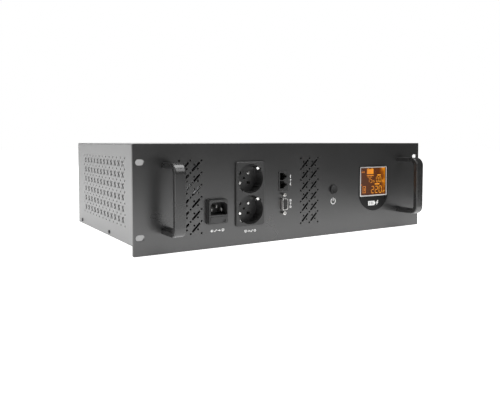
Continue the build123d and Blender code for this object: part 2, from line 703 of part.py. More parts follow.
# ---------------------------------------------------------------- power board
BOARD_POSTS = [(x, y) for x in (BOARD_X0 + 6, BOARD_X1 - 6) for y in (BOARD_Y0 + 6, 173.0, BOARD_Y1 - 6)]
SINK_X = (-62.0, 6.0)
SINK_Y = (150.0, 250.0)
SINK_H = 58.0


def main_board():
    """Inverter and charger board, lying over the tray on posts."""
    outline = Pos((BOARD_X0 + BOARD_X1) / 2, (BOARD_Y0 + BOARD_Y1) / 2)
    outline *= RectangleRounded(BOARD_X1 - BOARD_X0, BOARD_Y1 - BOARD_Y0, 3)
    holes = [Pos(x, y) * Circle(1.6) for x, y in BOARD_POSTS]
    return Pos(0, 0, BOARD_Z) * extrude(punched(outline, holes), BOARD_T)


def board_posts():
    """Threaded posts under the power board."""
    posts = [rod_z(x, y, 3.0, TRAY, BOARD_Z) - rod_z(x, y, 1.4, BOARD_Z - 6, BOARD_Z) for x, y in BOARD_POSTS]
    return group(posts)


def board_screws():
    """Screws that hold the power board down."""
    screw = pan_screw(2.8, 1.8, 1.35, 6.0)
    return group([Pos(x, y, BOARD_TOP) * screw for x, y in BOARD_POSTS])


def heat_sinks():
    """Two finned extrusions standing on the board."""
    fins, fin_t, reach = 8, 1.8, 22.0
    sinks = []
    for x in SINK_X:
        spine = block(x, x + 4, *SINK_Y, BOARD_TOP, BOARD_TOP + SINK_H)
        pitch = (SINK_H - fin_t) / (fins - 1)
        blades = []
        for k in range(fins):
            z = BOARD_TOP + k * pitch
            blades.append(block(x + 4, x + 4 + reach, *SINK_Y, z, z + fin_t))
        sinks.append(fused([spine, *blades]))
    return group(sinks)


def transistors():
    """Power transistors clamped to the flat side of each heat sink."""
    parts = []
    for x in SINK_X:
        for k in range(4):
            y = SINK_Y[0] + 14 + k * 24
            tab = block(x - 1.3, x, y - 5, y + 5, BOARD_TOP + 20, BOARD_TOP + 35)
            case = block(x - 4.5, x - 1.3, y - 5, y + 5, BOARD_TOP + 14, BOARD_TOP + 28)
            rows = [y + d for d in (-2.5, 0, 2.5)]
            legs = [block(x - 3, x - 2.2, v - 0.4, v + 0.4, BOARD_TOP, BOARD_TOP + 14) for v in rows]
            parts.append(fused([tab, case, *legs]))
    return group(parts)


def capacitors():
    """Electrolytic cans on the power board."""
    spots = ((-30, 92, 11, 32), (-4, 92, 11, 32), (26, 90, 9, 26), (26, 114, 9, 26), (-10, 122, 8, 22))
    cans = [rod_z(x, y, r, BOARD_TOP, BOARD_TOP + h) for x, y, r, h in spots]
    return group([fillet(can.edges().group_by(Axis.Z)[-1], 1.2) for can in cans])


def relays():
    """Transfer and voltage-step relays."""
    cases = [block(-80, -52, y, y + 13, BOARD_TOP, BOARD_TOP + 20) for y in (84, 100, 116, 132)]
    return group([fillet(case.edges().group_by(Axis.Z)[-1], 0.8) for case in cases])


TERMINAL_Y = 74.5
TERMINAL_X = tuple(-70.0 + 7.5 * k for k in range(5))


def terminal_block():
    """Screw terminals for the mains wires."""
    left, right = TERMINAL_X[0] - 5, TERMINAL_X[-1] + 5
    body = block(left, right, BOARD_Y0 + 1, BOARD_Y0 + 13, BOARD_TOP, BOARD_TOP + 14)
    wells = [rod_z(x, TERMINAL_Y, 2.4, BOARD_TOP + 9, BOARD_TOP + 15) for x in TERMINAL_X]
    return body - wells


# ---------------------------------------------------------------- transformer
def transformer_feet():
    return [(CORE_X + sx * 48, CORE_Y + sy * (CORE_STACK / 2 + 11)) for sx in (-1, 1) for sy in (-1, 1)]


def core_bolt_places():
    half_w, top = CORE_W / 2 - 8, CORE_Z + CORE_H - 8
    return [(CORE_X + sx * half_w, z) for sx in (-1, 1) for z in (CORE_Z + 8, top)]


def transformer_core():
    """Laminated E and I stack with its two windows."""
    outline = Pos(CORE_X, CORE_Z + CORE_H / 2) * Rectangle(CORE_W, CORE_H)
    window = Rectangle(YOKE, CORE_H - 2 * YOKE)
    windows = [Pos(CORE_X + s * 1.5 * YOKE, CORE_Z + CORE_H / 2) * window for s in (-1, 1)]
    holes = [Pos(x, z) * Circle(2.7) for x, z in core_bolt_places()]
    y0, y1 = CORE_Y - CORE_STACK / 2, CORE_Y + CORE_STACK / 2
    return front_slab(punched(outline, windows + holes), y0, y1)


def transformer_windings():
    """Coils on the middle leg, wrapped in tape."""
    low = CORE_Z + YOKE + 0.4
    high = CORE_Z + CORE_H - YOKE - 0.4
    outline = RectangleRounded(2 * YOKE + 2 * 18, CORE_STACK + 2 * 17, 12)
    hole = Rectangle(2 * YOKE, CORE_STACK)
    ring = Pos(CORE_X, CORE_Y, low) * extrude(outline - hole, high - low)
    return ring


def transformer_frame():
    """Two steel angles that stand the core on the tray."""
    angles = []
    for side in (-1, 1):
        inner = CORE_Y + side * CORE_STACK / 2
        outer = inner + side * 2
        tip = inner + side * 20
        half = CORE_W / 2
        upright = block(CORE_X - half, CORE_X + half, min(inner, outer), max(inner, outer), TRAY, CORE_Z + 16)
        upright -= [rod_y(x, z, 2.7, inner - 3, inner + 3) for x, z in core_bolt_places()]
        foot = block(CORE_X - half, CORE_X + half, min(outer, tip), max(outer, tip), TRAY, TRAY + 2)
        foot -= [rod_z(x, y, 2.2, 0, 5) for x, y in transformer_feet()]
        angles.append(fused([upright, foot]))
    return group(angles)


def transformer_bolts():
    """Four bolts through the stack, and four screws that hold the angles to the tray."""
    bolts = []
    half = CORE_STACK / 2
    for x, z in core_bolt_places():
        ends = half + (2 if z < MID_Z else 0)
        shank = rod_y(x, z, 2.5, CORE_Y - ends, CORE_Y + ends + 6)
        head = front_slab(Pos(x, z) * RegularPolygon(4.6, 6), CORE_Y - ends - 3.5, CORE_Y - ends)
        nut = front_slab(Pos(x, z) * RegularPolygon(4.6, 6), CORE_Y + ends, CORE_Y + ends + 4)
        bolts.append(fused([shank, head, nut]))
    screw = pan_screw(4.0, 2.6, 1.9, 3.2)
    bolts += [Pos(x, y, TRAY + 2) * screw for x, y in transformer_feet()]
    return group(bolts)


# ---------------------------------------------------------------- batteries
def battery(x):
    """Sealed lead-acid block with a lid line and two terminal wells."""
    body = block(x - BATTERY_W / 2, x + BATTERY_W / 2, BATTERY_Y - BATTERY_L / 2, BATTERY_Y + BATTERY_L / 2,
                 TRAY, BATTERY_TOP)
    body = fillet(body.edges().filter_by(Axis.Z), 2.0)
    seam = Pos(x, BATTERY_Y, BATTERY_TOP - 16) * Box(BATTERY_W, BATTERY_L, 1.2)
    seam -= Pos(x, BATTERY_Y, BATTERY_TOP - 16) * Box(BATTERY_W - 1.2, BATTERY_L - 1.2, 2)
    return body - seam


def terminal_places(x):
    y = BATTERY_Y - BATTERY_L / 2 + 12
    return [(x - 22, y), (x + 22, y)]


def battery_terminals():
    """Blade terminals, two to a battery."""
    tabs = []
    for x in BATTERY_X:
        for tx, ty in terminal_places(x):
            pad = block(tx - 5, tx + 5, ty - 5, ty + 5, BATTERY_TOP, BATTERY_TOP + 1)
            tab = block(tx - 0.4, tx + 0.4, ty - 3.2, ty + 3.2, BATTERY_TOP + 1, BATTERY_TOP + 7)
            tabs.append(fused([pad, tab]))
    return group(tabs)


STRAP_FEET_X = (BATTERY_X[0] - BATTERY_W / 2 - 9, BATTERY_X[1] + BATTERY_W / 2 + 8.5)


def battery_strap():
    """Steel strap over both batteries, screwed to the tray."""
    x0, x1 = BATTERY_X[0] - BATTERY_W / 2, BATTERY_X[1] + BATTERY_W / 2
    y0, y1 = STRAP_Y - 12, STRAP_Y + 12
    top = block(x0 - STRAP_T, x1 + STRAP_T, y0, y1, BATTERY_TOP, BATTERY_TOP + STRAP_T)
    legs = [block(x, x + STRAP_T, y0, y1, TRAY, BATTERY_TOP) for x in (x0 - STRAP_T, x1)]
    feet = [block(x0 - 15, x0 - STRAP_T, y0, y1, TRAY, TRAY + STRAP_T),
            block(x1 + STRAP_T, x1 + 14.5, y0, y1, TRAY, TRAY + STRAP_T)]
    return fused([top, *legs, *feet])


def strap_screws():
    """Heads of the screws that hold the strap's feet."""
    heads = [rod_z(x, STRAP_Y, 3.2, TRAY + STRAP_T, TRAY + STRAP_T + 2.2) for x in STRAP_FEET_X]
    return group([fillet(h.edges().group_by(Axis.Z)[-1], 0.8) for h in heads])


# ---------------------------------------------------------------- wiring
LEAD_R = 1.9
MAINS_R = 1.3
LEAD_TOP = BATTERY_TOP + 7


def battery_lead(x, y, end_x, end_y, rise):
    """Lead from a battery blade, up and forward, then down to the power board."""
    front = BATTERY_Y - BATTERY_L / 2 - 14
    points = [(x, y, LEAD_TOP), (x, y, LEAD_TOP + rise), (x, front, LEAD_TOP + rise), (x, front, 40),
              (end_x, end_y, 40), (end_x, end_y, BOARD_TOP)]
    return wire_tube(points, LEAD_R, 7)


def battery_lead_red():
    """Positive lead of the pair."""
    x, y = terminal_places(BATTERY_X[0])[0]
    return battery_lead(x, y, 40.0, 128.0, 10)


def battery_lead_black():
    """Negative lead of the pair."""
    x, y = terminal_places(BATTERY_X[1])[1]
    return battery_lead(x, y, 40.0, 100.0, 10)


def battery_link():
    """Link that puts the two batteries in series."""
    (_, _), (x0, y) = terminal_places(BATTERY_X[0])
    (x1, _), (_, _) = terminal_places(BATTERY_X[1])
    high = LEAD_TOP + 10
    return wire_tube([(x0, y, LEAD_TOP), (x0, y, high), (x1, y, high), (x1, y, LEAD_TOP)], LEAD_R, 6)


def mains_wire(x, y, z, back, level, end_x):
    """Wire from a tab behind the front, back, up or down and along, then into a screw terminal."""
    points = [(x, y, z), (x, back, z), (x, back, level), (end_x, back, level), (end_x, TERMINAL_Y, level),
              (end_x, TERMINAL_Y, BOARD_TOP + 9)]
    return wire_tube(points, MAINS_R, 3)


def mains_live():
    """Live wire from the inlet."""
    dx, dz = PIN_PLACES[0]
    return mains_wire(INLET_X + dx, INLET_BACK + 8, COUPLER_Z + dz, 46, 32, TERMINAL_X[0])


def mains_neutral():
    """Neutral wire from the inlet."""
    dx, dz = PIN_PLACES[1]
    return mains_wire(INLET_X + dx, INLET_BACK + 8, COUPLER_Z + dz, 42, 32, TERMINAL_X[1])


def outlet_wires():
    """Two wires from the outlet contacts."""
    offset = PIN_R * DIAGONAL
    x, y = OUTLET_X + offset, OUTLET_BACK + 6
    upper = mains_wire(x, y, SOCKET_Z[1] - offset, 50, 52, TERMINAL_X[3])
    lower = mains_wire(x, y, SOCKET_Z[0] - offset, 54, 46, TERMINAL_X[4])
    return group([upper, lower])


def display_ribbon():
    """Flat cable from the display board down to the power board."""
    y = DISPLAY_Y + BOARD_T
    points = [(60, y, 46), (60, y + 12, 46), (60, y + 12, 34), (44, 84, 34), (44, 84, BOARD_TOP)]
    return wire_tube(points, 1.6, 4)


# ---------------------------------------------------------------- fan
def fan_screw_centres():
    return [(FAN_X + sx * FAN_HOLES, FAN_Z + sz * FAN_HOLES) for sx in (-1, 1) for sz in (-1, 1)]


HUB_R = 17.5
SHAFT_R = 1.5
BEARING_Y = FAN_Y + FAN_DEEP - 4


def fan_frame():
    """Square frame with the duct, four struts and the bearing boss."""
    outline = Pos(FAN_X, FAN_Z) * RectangleRounded(FAN_SIZE, FAN_SIZE, 4)
    holes = [Pos(x, z) * Circle(2.2) for x, z in fan_screw_centres()]
    holes.append(Pos(FAN_X, FAN_Z) * Circle(FAN_BORE))
    frame = front_slab(punched(outline, holes), FAN_Y, FAN_Y + FAN_DEEP)
    boss = rod_y(FAN_X, FAN_Z, HUB_R, BEARING_Y, FAN_Y + FAN_DEEP)
    struts = []
    for angle in (45, 135, 225, 315):
        bar = block(HUB_R - 2, FAN_BORE + 1, BEARING_Y, BEARING_Y + 3, -2, 2)
        struts.append(Pos(FAN_X, 0, FAN_Z) * Rot(0, angle, 0) * bar)
    tower = rod_y(FAN_X, FAN_Z, 4.0, FAN_Y + 8, BEARING_Y)
    bore = rod_y(FAN_X, FAN_Z, SHAFT_R + 0.05, FAN_Y + 8, BEARING_Y + 2)
    return fused([frame, boss, tower, *struts]) - bore


def fan_rotor():
    """Cup hub with seven pitched blades and its shaft."""
    hub_y0, hub_y1 = FAN_Y + 2, BEARING_Y - 1
    hub = rod_y(0, 0, HUB_R - 1, hub_y0, hub_y1)
    hub = fillet(hub.edges().group_by(Axis.Y)[0], 1.5)
    hub -= rod_y(0, 0, HUB_R - 3, hub_y0 + 3, hub_y1 + 1)
    shaft = rod_y(0, 0, SHAFT_R, hub_y0 + 2, BEARING_Y + 1)
    ring = rod_y(0, 0, FAN_BORE - 1.2, hub_y0, hub_y1) - rod_y(0, 0, HUB_R - 1.4, hub_y0 - 1, hub_y1 + 1)
    middle = (hub_y0 + hub_y1) / 2
    blades = []
    for k in range(7):
        flat = Pos(27, 0, 0) * Rot(52, 0, 0) * Box(26, 1.4, 24)
        blade = Rot(0, 360 / 7 * k, 0) * flat
        blades.append((Pos(0, middle, 0) * blade) & ring)
    return Pos(FAN_X, 0, FAN_Z) * fused([hub, shaft, *blades])


def fan_guard():
    """Wire finger guard: four rings on four thinner legs with screw eyes."""
    ring_y = CASE_BACK + 2.1
    leg_y = CASE_BACK + GUARD_WIRE + 0.1
    leg_r = 0.6
    rings = [Pos(0, ring_y, 0) * Rot(90, 0, 0) * Torus(r, GUARD_WIRE) for r in (9, 19, 29, 38)]
    reach = FAN_HOLES * sqrt(2)
    legs = []
    for angle in (45, 135, 225, 315):
        leg = rod_x(leg_y, 0, leg_r, 8, reach - 3.3)
        eye = Pos(reach, CASE_BACK + GUARD_WIRE, 0) * Rot(90, 0, 0) * Torus(3.3, GUARD_WIRE)
        legs.append(Rot(0, angle, 0) * fused([leg, eye]))
    return Pos(FAN_X, 0, FAN_Z) * fused([*rings, *legs])


def fan_screws():
    """Screws through the guard's eyes and the rear wall into the fan frame."""
    screw = pan_screw(4.0, 1.9, 2.0, 12.0)
    seat = CASE_BACK + 2 * GUARD_WIRE
    return group([Pos(x, seat, z) * Rot(-90, 0, 0) * screw for x, z in fan_screw_centres()])


# ---------------------------------------------------------------- output
NODES = {
    "front_panel": front_panel,
    "base_tray": base_tray,
    "top_cover": top_cover,
    "cover_screws": cover_screws,
    "panel_screws": panel_screws,
    "left_handle": lambda: handle(-HANDLE_X),
    "right_handle": lambda: handle(HANDLE_X),
    "handle_screws": handle_screws,
    "inlet_housing": inlet_housing,
    "inlet_pins": inlet_pins,
    "fuse_drawer": fuse_drawer,
    "fuse_tubes": fuse_tubes,
    "fuse_caps": fuse_caps,
    "outlet_housing": outlet_housing,
    "outlet_contacts": outlet_contacts,
    "earth_clips": earth_clips,
    "outlet_fasteners": outlet_fasteners,
    "phone_jack": phone_jack,
    "phone_contacts": phone_contacts,
    "serial_shell": serial_shell,
    "serial_insert": serial_insert,
    "jack_screws": jack_screws,
    "comm_board": comm_board,
    "power_button": power_button,
    "button_spring": button_spring,
    "button_switch": button_switch,
    "display_bezel": display_bezel,
    "display_trim": display_trim,
    "display_window": display_window,
    "lcd_module": lcd_module,
    "display_board": display_board,
    "display_posts": display_posts,
    "main_board": main_board,
    "board_posts": board_posts,
    "board_screws": board_screws,
    "heat_sinks": heat_sinks,
    "transistors": transistors,
    "capacitors": capacitors,
    "relays": relays,
    "terminal_block": terminal_block,
    "transformer_core": transformer_core,
    "transformer_windings": transformer_windings,
    "transformer_frame": transformer_frame,
    "transformer_bolts": transformer_bolts,
    "battery_inner": lambda: battery(BATTERY_X[0]),
    "battery_outer": lambda: battery(BATTERY_X[1]),
    "battery_terminals": battery_terminals,
    "battery_strap": battery_strap,
    "strap_screws": strap_screws,
    "battery_lead_red": battery_lead_red,
    "battery_lead_black": battery_lead_black,
    "battery_link": battery_link,
    "mains_live": mains_live,
    "mains_neutral": mains_neutral,
    "outlet_wires": outlet_wires,
    "display_ribbon": display_ribbon,
    "fan_frame": fan_frame,
    "fan_rotor": fan_rotor,
    "fan_guard": fan_guard,
    "fan_screws": fan_screws,
}


def write(name, shape):
    """Moves a piece into the row's frame and writes its STEP file."""
    export_step(Pos(0, Y_SHIFT, 0) * shape, f"parts/{name}.step")


os.makedirs("parts", exist_ok=True)
for name, make in NODES.items():
    write(name, make())
print("front face of the panel at y =", Y_SHIFT)
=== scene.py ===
"""Looks of a rack-mounted uninterruptible power supply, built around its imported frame.

The frame is in metres: +X to the right seen from the front, +Y into the chassis, +Z up. Sizes below are in
millimetres and are multiplied by MM where they meet Blender. Every place is worked out from the frame.
"""
import math

import bmesh
import bpy
from mathutils import Matrix, Vector


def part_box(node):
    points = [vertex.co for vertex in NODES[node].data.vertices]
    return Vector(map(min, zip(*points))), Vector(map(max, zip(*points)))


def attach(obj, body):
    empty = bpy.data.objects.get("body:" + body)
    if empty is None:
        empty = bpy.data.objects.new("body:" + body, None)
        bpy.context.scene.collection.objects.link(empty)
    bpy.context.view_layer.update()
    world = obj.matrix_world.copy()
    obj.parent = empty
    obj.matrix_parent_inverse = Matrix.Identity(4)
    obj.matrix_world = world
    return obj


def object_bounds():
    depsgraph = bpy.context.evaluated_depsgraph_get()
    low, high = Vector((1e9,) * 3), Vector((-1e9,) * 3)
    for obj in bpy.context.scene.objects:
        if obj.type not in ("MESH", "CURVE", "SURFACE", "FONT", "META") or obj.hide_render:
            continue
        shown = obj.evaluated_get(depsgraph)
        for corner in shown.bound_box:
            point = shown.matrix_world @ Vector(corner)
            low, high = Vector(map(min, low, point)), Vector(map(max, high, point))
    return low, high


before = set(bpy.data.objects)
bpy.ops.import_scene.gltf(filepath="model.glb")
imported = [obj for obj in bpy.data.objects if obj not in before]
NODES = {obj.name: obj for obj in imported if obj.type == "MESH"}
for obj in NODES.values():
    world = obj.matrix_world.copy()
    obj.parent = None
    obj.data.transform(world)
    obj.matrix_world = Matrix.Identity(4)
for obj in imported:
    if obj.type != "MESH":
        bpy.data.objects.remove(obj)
cad_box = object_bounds()
MM = 0.001


# ---------------------------------------------------------------- places read from the frame
def middle(node):
    low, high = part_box(node)
    return (low + high) / 2


def front_of(node):
    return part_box(node)[0].y


PANEL_Y = front_of("front_panel")
PANEL_MID = middle("front_panel")


# ---------------------------------------------------------------- materials
class Surface:
    """A Principled material whose colour, roughness and bump come from patterns in object space."""

    def __init__(self, name, roughness=0.5, metallic=0.0, **sockets):
        self.material = bpy.data.materials.new(name)
        self.material.use_nodes = True
        self.tree = self.material.node_tree
        self.shader = self.tree.nodes["Principled BSDF"]
        self.shader.inputs["Roughness"].default_value = roughness
        self.shader.inputs["Metallic"].default_value = metallic
        for socket, value in sockets.items():
            self.shader.inputs[socket.replace("_", " ")].default_value = value
        self.place = self.tree.nodes.new("ShaderNodeTexCoord").outputs["Object"]
        self.heights = []

    def link(self, source, target):
        self.tree.links.new(source, target)

    def stretched(self, x, y, z):
        """Object coordinates scaled on each axis, which draws a pattern out along the smallest scale."""
        mapping = self.tree.nodes.new("ShaderNodeMapping")
        mapping.inputs["Scale"].default_value = (x, y, z)
        self.link(self.place, mapping.inputs["Vector"])
        return mapping.outputs["Vector"]

    def noise(self, per_metre, detail=3.0, place=None):
        node = self.tree.nodes.new("ShaderNodeTexNoise")
        node.inputs["Scale"].default_value = per_metre
        node.inputs["Detail"].default_value = detail
        self.link(place or self.place, node.inputs["Vector"])
        return node.outputs["Fac"]

    def cells(self, per_metre):
        node = self.tree.nodes.new("ShaderNodeTexVoronoi")
        node.inputs["Scale"].default_value = per_metre
        self.link(self.place, node.inputs["Vector"])
        return node.outputs["Distance"]

    def waves(self, per_metre, axis, distortion=0.0):
        node = self.tree.nodes.new("ShaderNodeTexWave")
        node.bands_direction = axis
        node.inputs["Scale"].default_value = per_metre
        node.inputs["Distortion"].default_value = distortion
        self.link(self.place, node.inputs["Vector"])
        return node.outputs["Fac"]

    def along(self, axis, start, end):
        """0 to 1 between two places on an axis."""
        parts = self.tree.nodes.new("ShaderNodeSeparateXYZ")
        self.link(self.place, parts.inputs["Vector"])
        return self.remap(parts.outputs[axis], start, end, 0.0, 1.0)

    def add(self, base, pattern, share=1.0):
        """base + pattern * share"""
        node = self.tree.nodes.new("ShaderNodeMath")
        node.operation = "MULTIPLY_ADD"
        self.link(pattern, node.inputs[0])
        node.inputs[1].default_value = share
        self.link(base, node.inputs[2])
        return node.outputs[0]

    def remap(self, source, low, high, to_low, to_high):
        node = self.tree.nodes.new("ShaderNodeMapRange")
        for socket, value in zip(("From Min", "From Max", "To Min", "To Max"), (low, high, to_low, to_high)):
            node.inputs[socket].default_value = value
        self.link(source, node.inputs["Value"])
        return node.outputs["Result"]

    def blend(self, source, stops, target="Base Color"):
        """Colours picked by a pattern: stops are (place from 0 to 1, colour)."""
        ramp = self.tree.nodes.new("ShaderNodeValToRGB")
        elements = ramp.color_ramp.elements
        while len(elements) < len(stops):
            elements.new(0.5)
        for element, (place, colour) in zip(elements, stops):
            element.position = place
            element.color = (*colour, 1.0)
        self.link(source, ramp.inputs["Fac"])
        self.link(ramp.outputs["Color"], self.shader.inputs[target])
        return ramp.outputs["Color"]

    def rough(self, source, low, high):
        self.link(self.remap(source, 0.3, 0.7, low, high), self.shader.inputs["Roughness"])

    def bump(self, source, depth_mm, strength=1.0):
        node = self.tree.nodes.new("ShaderNodeBump")
        node.inputs["Distance"].default_value = depth_mm * MM
        node.inputs["Strength"].default_value = strength
        self.link(source, node.inputs["Height"])
        if self.heights:
            self.link(self.heights[-1], node.inputs["Normal"])
        self.heights.append(node.outputs["Normal"])
        self.link(node.outputs["Normal"], self.shader.inputs["Normal"])


def shade(colour, factor):
    return tuple(min(1.0, c * factor) for c in colour)


def speckled(name, colour, roughness, grain=1500, depth=0.02, contrast=0.12, metallic=0.0, **sockets):
    """Moulded or painted surface: fine grain, slow colour drift and uneven gloss."""
    s = Surface(name, roughness, metallic, **sockets)
    fine = s.noise(grain, 2.0)
    slow = s.noise(18, 4.0)
    mix = s.add(s.remap(slow, 0.3, 0.7, 0.0, 0.5), fine, 0.5)
    s.blend(mix, [(0.25, shade(colour, 1 - contrast)), (0.75, shade(colour, 1 + contrast))])
    s.rough(slow, roughness * 0.95, min(1.0, roughness * 1.06))
    s.bump(fine, depth)
    return s.material


def brushed(name, colour, roughness, along_axis=(40, 900, 900), depth=0.01, **sockets):
    """Metal with fine lines drawn out along one axis."""
    s = Surface(name, roughness, 1.0, **sockets)
    lines = s.noise(1.0, 3.0, s.stretched(*along_axis))
    slow = s.noise(30, 3.0)
    s.blend(lines, [(0.3, shade(colour, 0.86)), (0.7, colour)])
    s.rough(slow, roughness * 0.8, roughness * 1.25)
    s.bump(lines, depth)
    return s.material


def glassy(name, colour, roughness, weight, ior):
    s = Surface(name, roughness, 0.0, Transmission_Weight=weight, IOR=ior)
    smudge = s.noise(60, 4.0)
    s.blend(smudge, [(0.3, shade(colour, 0.97)), (0.7, colour)])
    s.rough(smudge, roughness, roughness + 0.03)
    return s.material


def panel_paint():
    """Fine-textured satin powder coat, near black."""
    s = Surface("panel_paint", 0.33, 0.0, Specular_IOR_Level=1.0)
    fine = s.noise(2600, 2.0)
    slow = s.noise(14, 4.0)
    s.blend(fine, [(0.3, (0.016, 0.016, 0.016)), (0.7, (0.024, 0.024, 0.024))])
    s.rough(slow, 0.27, 0.32)
    s.bump(fine, 0.012)
    return s.material


def zinc():
    """Zinc-plated steel with its spangle."""
    s = Surface("zinc", 0.38, 1.0)
    spangle = s.cells(160)
    fine = s.noise(900, 3.0)
    s.blend(spangle, [(0.1, (0.34, 0.345, 0.355)), (0.6, (0.44, 0.445, 0.45))])
    s.rough(spangle, 0.36, 0.5)
    s.bump(fine, 0.008)
    return s.material


def laminations():
    """Varnished edges of stacked sheets."""
    s = Surface("laminations", 0.45, 0.7)
    sheets = s.waves(160, "Y")
    s.blend(sheets, [(0.2, (0.10, 0.09, 0.085)), (0.8, (0.27, 0.25, 0.23))])
    s.rough(s.noise(60), 0.35, 0.55)
    s.bump(sheets, 0.08)
    return s.material


def winding_tape():
    """Yellow tape in overlapping turns round the coil."""
    s = Surface("winding_tape", 0.3, 0.0, Coat_Weight=0.3)
    turns = s.waves(9, "Z", 0.6)
    s.blend(turns, [(0.1, (0.55, 0.36, 0.05)), (0.9, (0.78, 0.56, 0.13))])
    s.rough(turns, 0.25, 0.4)
    s.bump(turns, 0.25)
    return s.material


def circuit_board():
    """Solder mask with copper tracks showing through."""
    s = Surface("circuit_board", 0.3, 0.0, Coat_Weight=0.4, Coat_Roughness=0.15)
    tracks = s.waves(60, "X", 9.0)
    s.blend(tracks, [(0.42, (0.008, 0.085, 0.03)), (0.5, (0.02, 0.16, 0.055)), (0.58, (0.008, 0.085, 0.03))])
    s.rough(s.noise(200), 0.25, 0.38)
    s.bump(tracks, 0.03)
    return s.material


# The backlight's ramp: how far along it the right-hand edge stands, and how much the top adds.
GLOW_AT_EDGE = 0.9
GLOW_FROM_HEIGHT = 0.13


def lcd_face():
    """Lit amber display: dull brown, with the backlight glowing orange up its right-hand side."""
    low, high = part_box("lcd_module")
    s = Surface("lcd_face", 0.4, 0.0, Emission_Strength=1.0, Specular_IOR_Level=0.1)
    across = s.along("X", low.x, low.x + (high.x - low.x) / GLOW_AT_EDGE)
    s.blend(across, [(0.0, (0.012, 0.008, 0.006)), (1.0, (0.03, 0.012, 0.004))])
    uneven = s.add(across, s.remap(s.noise(70, 2.0), 0.3, 0.7, -0.05, 0.05))
    total = s.add(uneven, s.along("Z", low.z, high.z), GLOW_FROM_HEIGHT)
    glow = [(0.0, (0.085, 0.036, 0.024)), (0.55, (0.080, 0.026, 0.012)), (0.82, (0.095, 0.024, 0.005)),
            (0.90, (0.26, 0.066, 0.002)), (0.98, (0.75, 0.25, 0.006))]
    s.blend(total, glow, "Emission Color")
    s.bump(s.noise(900), 0.004)
    return s.material


def lcd_ink():
    """Bright segments of the display."""
    s = Surface("lcd_ink", 0.4, 0.0, Emission_Strength=1.0, Specular_IOR_Level=0.1)
    low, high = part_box("lcd_module")
    s.blend(s.noise(250), [(0.3, (0.10, 0.05, 0.02)), (0.7, (0.14, 0.07, 0.03))])
    lit = [(0.1, (0.50, 0.15, 0.03)), (0.5, (0.85, 0.29, 0.01)), (0.9, (0.95, 0.40, 0.02))]
    s.blend(s.along("X", low.x, high.x), lit, "Emission Color")
    return s.material


MATERIALS = {
    "panel_paint": panel_paint(),
    "case_paint": speckled("case_paint", (0.32, 0.32, 0.32), 0.45, 1100, 0.03, 0.03),
    "zinc": zinc(),
    "screw_black": speckled("screw_black", (0.035, 0.035, 0.038), 0.35, 1800, 0.01),
    "handle_satin": speckled("handle_satin", (0.018, 0.018, 0.018), 0.27, 2200, 0.008,
                             Specular_IOR_Level=0.8),
    "moulded_black": speckled("moulded_black", (0.034, 0.034, 0.034), 0.4, 1600, 0.015),
    "port_black": speckled("port_black", (0.02, 0.02, 0.02), 0.5, 1600, 0.015),
    "nickel": brushed("nickel", (0.78, 0.77, 0.75), 0.24, (300, 60, 300)),
    "dull_nickel": brushed("dull_nickel", (0.30, 0.30, 0.29), 0.4, (300, 60, 300)),
    "brass": brushed("brass", (0.80, 0.62, 0.30), 0.28, (300, 60, 300)),
    "gloss_black": speckled("gloss_black", (0.010, 0.010, 0.010), 0.28, 400, 0.002,
                            Specular_IOR_Level=0.18),
    "button_black": speckled("button_black", (0.016, 0.016, 0.016), 0.5, 900, 0.006,
                             Specular_IOR_Level=0.35),
    "bright_trim": brushed("bright_trim", (0.90, 0.89, 0.88), 0.4, (700, 700, 700), 0.004),
    "window": glassy("window", (1.0, 0.98, 0.95), 0.03, 1.0, 1.05),
    "lcd_face": lcd_face(),
    "circuit_board": circuit_board(),
    "aluminium": brushed("aluminium", (0.80, 0.81, 0.82), 0.34, (800, 30, 800), 0.015),
    "epoxy": speckled("epoxy", (0.03, 0.03, 0.032), 0.55, 1300, 0.02),
    "can_sleeve": speckled("can_sleeve", (0.02, 0.03, 0.09), 0.22, 500, 0.006, Coat_Weight=0.4),
    "relay_blue": speckled("relay_blue", (0.02, 0.06, 0.25), 0.35, 900, 0.01),
    "terminal_green": speckled("terminal_green", (0.03, 0.24, 0.08), 0.4, 900, 0.01),
    "laminations": laminations(),
    "winding_tape": winding_tape(),
    "battery_case": speckled("battery_case", (0.055, 0.058, 0.062), 0.5, 1000, 0.04),
    "wire_red": speckled("wire_red", (0.42, 0.012, 0.012), 0.4, 700, 0.01),
    "wire_black": speckled("wire_black", (0.02, 0.02, 0.02), 0.4, 700, 0.01),
    "wire_blue": speckled("wire_blue", (0.015, 0.06, 0.32), 0.4, 700, 0.01),
    "wire_brown": speckled("wire_brown", (0.13, 0.05, 0.02), 0.4, 700, 0.01),
    "wire_grey": speckled("wire_grey", (0.3, 0.3, 0.31), 0.45, 700, 0.01),
    "fuse_glass": glassy("fuse_glass", (0.95, 1.0, 0.98), 0.02, 0.9, 1.5),
    "spring": brushed("spring", (0.62, 0.62, 0.63), 0.3, (400, 400, 400)),
    "fan_black": speckled("fan_black", (0.025, 0.025, 0.027), 0.42, 1200, 0.015),
    "label_white": speckled("label_white", (0.80, 0.80, 0.79), 0.5, 1500, 0.004, 0.05),
    "lcd_ink": lcd_ink(),
}

